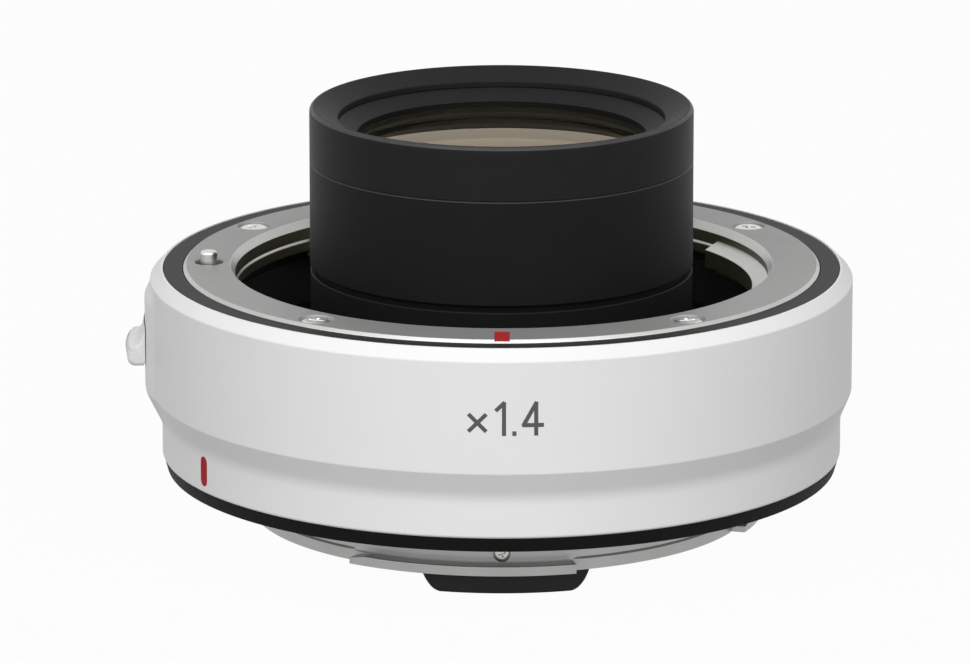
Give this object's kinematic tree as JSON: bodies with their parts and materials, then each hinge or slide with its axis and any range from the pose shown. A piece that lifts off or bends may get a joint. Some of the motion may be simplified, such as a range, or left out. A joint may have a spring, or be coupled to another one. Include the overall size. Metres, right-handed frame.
{
  "type": "camera teleconverter",
  "caption": "Short white teleconverter ring with bayonet mounts at both ends, a black glass barrel standing out of the front, contacts at both ends and a sliding lock release.",
  "frame": {"origin": "on the optical axis, in the plane of the rear mount flange", "axes": "+Z along the optical axis towards the lens in front, -Y towards the front index mark, lever on -X"},
  "size_m": [0.0738, 0.0712, 0.0444],
  "materials": {
    "white_paint": "satin white paint",
    "trim_plastic": "matte charcoal",
    "mount_metal": "satin plated bayonet metal",
    "steel": "bright steel",
    "black_screw": "blackened steel",
    "red_paint": "red enamel",
    "chassis_paint": "black paint over die-cast alloy",
    "barrel_black": "matte black",
    "glass": "coated optical glass",
    "black_plastic": "moulded black",
    "gold": "gold plated",
    "board": "green solder mask",
    "chip": "moulded package",
    "flex": "amber film",
    "brass": "rolled shim",
    "rubber": "black rubber"
  },
  "bodies": {
    "main": {"outer_shell": "white_paint", "front_trim_ring": "trim_plastic", "front_mount_ring": "mount_metal", "rear_mount": "mount_metal", "front_mount_screws": "steel", "rear_mount_screws": "steel", "contact_block_screw": "steel", "mount_leaf_springs": "steel", "lock_spring": "steel", "board_screws": "steel", "barrel_base_screws": "black_screw", "cavity_floor_screws": "black_screw", "rear_cover_screws": "black_screw", "front_index_mark": "red_paint", "body_index_mark": "red_paint", "chassis": "chassis_paint", "front_barrel": "barrel_black", "barrel_cap": "barrel_black", "barrel_base": "barrel_black", "front_retaining_ring": "barrel_black", "inner_lens_tube": "barrel_black", "middle_retaining_ring": "barrel_black", "lens_spacer": "barrel_black", "rear_retaining_ring": "barrel_black", "lens_1": "glass", "lens_2": "glass", "lens_3": "glass", "lens_4": "glass", "lens_5": "glass", "lens_6": "glass", "lens_7": "glass", "cavity_floor": "black_plastic", "front_contact_block": "black_plastic", "rear_contact_block": "black_plastic", "rear_cover": "black_plastic", "rear_contact_pads": "gold", "circuit_board": "board", "board_chips": "chip", "flex_cable": "flex", "mount_shim": "brass", "seal_ring": "rubber"},
    "release": {"release_lever": "white_paint", "lever_slider": "steel", "lever_screw": "steel", "lock_pin": "steel"},
    "plunger_1": {"contact_pin_1": "gold"},
    "plunger_2": {"contact_pin_2": "gold"},
    "plunger_3": {"contact_pin_3": "gold"},
    "plunger_4": {"contact_pin_4": "gold"},
    "plunger_5": {"contact_pin_5": "gold"},
    "plunger_6": {"contact_pin_6": "gold"},
    "plunger_7": {"contact_pin_7": "gold"},
    "plunger_8": {"contact_pin_8": "gold"},
    "plunger_9": {"contact_pin_9": "gold"},
    "plunger_10": {"contact_pin_10": "gold"},
    "plunger_11": {"contact_pin_11": "gold"},
    "plunger_12": {"contact_pin_12": "gold"}
  },
  "joints": [
    {"name": "release_slide", "type": "slide", "parent": "main", "child": "release", "axis": [0, 0, -1], "range_m": [0, 0.0014], "stiffness_N_per_m": 600, "springref_m": -0.002, "deforming": ["lock_spring"]},
    {"name": "contact_1_slide", "type": "slide", "parent": "main", "child": "plunger_1", "axis": [0, 0, -1], "range_m": [0, 0.0006], "stiffness_N_per_m": 300, "springref_m": -0.0005},
    {"name": "contact_2_slide", "type": "slide", "parent": "main", "child": "plunger_2", "axis": [0, 0, -1], "range_m": [0, 0.0006], "stiffness_N_per_m": 300, "springref_m": -0.0005},
    {"name": "contact_3_slide", "type": "slide", "parent": "main", "child": "plunger_3", "axis": [0, 0, -1], "range_m": [0, 0.0006], "stiffness_N_per_m": 300, "springref_m": -0.0005},
    {"name": "contact_4_slide", "type": "slide", "parent": "main", "child": "plunger_4", "axis": [0, 0, -1], "range_m": [0, 0.0006], "stiffness_N_per_m": 300, "springref_m": -0.0005},
    {"name": "contact_5_slide", "type": "slide", "parent": "main", "child": "plunger_5", "axis": [0, 0, -1], "range_m": [0, 0.0006], "stiffness_N_per_m": 300, "springref_m": -0.0005},
    {"name": "contact_6_slide", "type": "slide", "parent": "main", "child": "plunger_6", "axis": [0, 0, -1], "range_m": [0, 0.0006], "stiffness_N_per_m": 300, "springref_m": -0.0005},
    {"name": "contact_7_slide", "type": "slide", "parent": "main", "child": "plunger_7", "axis": [0, 0, -1], "range_m": [0, 0.0006], "stiffness_N_per_m": 300, "springref_m": -0.0005},
    {"name": "contact_8_slide", "type": "slide", "parent": "main", "child": "plunger_8", "axis": [0, 0, -1], "range_m": [0, 0.0006], "stiffness_N_per_m": 300, "springref_m": -0.0005},
    {"name": "contact_9_slide", "type": "slide", "parent": "main", "child": "plunger_9", "axis": [0, 0, -1], "range_m": [0, 0.0006], "stiffness_N_per_m": 300, "springref_m": -0.0005},
    {"name": "contact_10_slide", "type": "slide", "parent": "main", "child": "plunger_10", "axis": [0, 0, -1], "range_m": [0, 0.0006], "stiffness_N_per_m": 300, "springref_m": -0.0005},
    {"name": "contact_11_slide", "type": "slide", "parent": "main", "child": "plunger_11", "axis": [0, 0, -1], "range_m": [0, 0.0006], "stiffness_N_per_m": 300, "springref_m": -0.0005},
    {"name": "contact_12_slide", "type": "slide", "parent": "main", "child": "plunger_12", "axis": [0, 0, -1], "range_m": [0, 0.0006], "stiffness_N_per_m": 300, "springref_m": -0.0005}
  ]
}
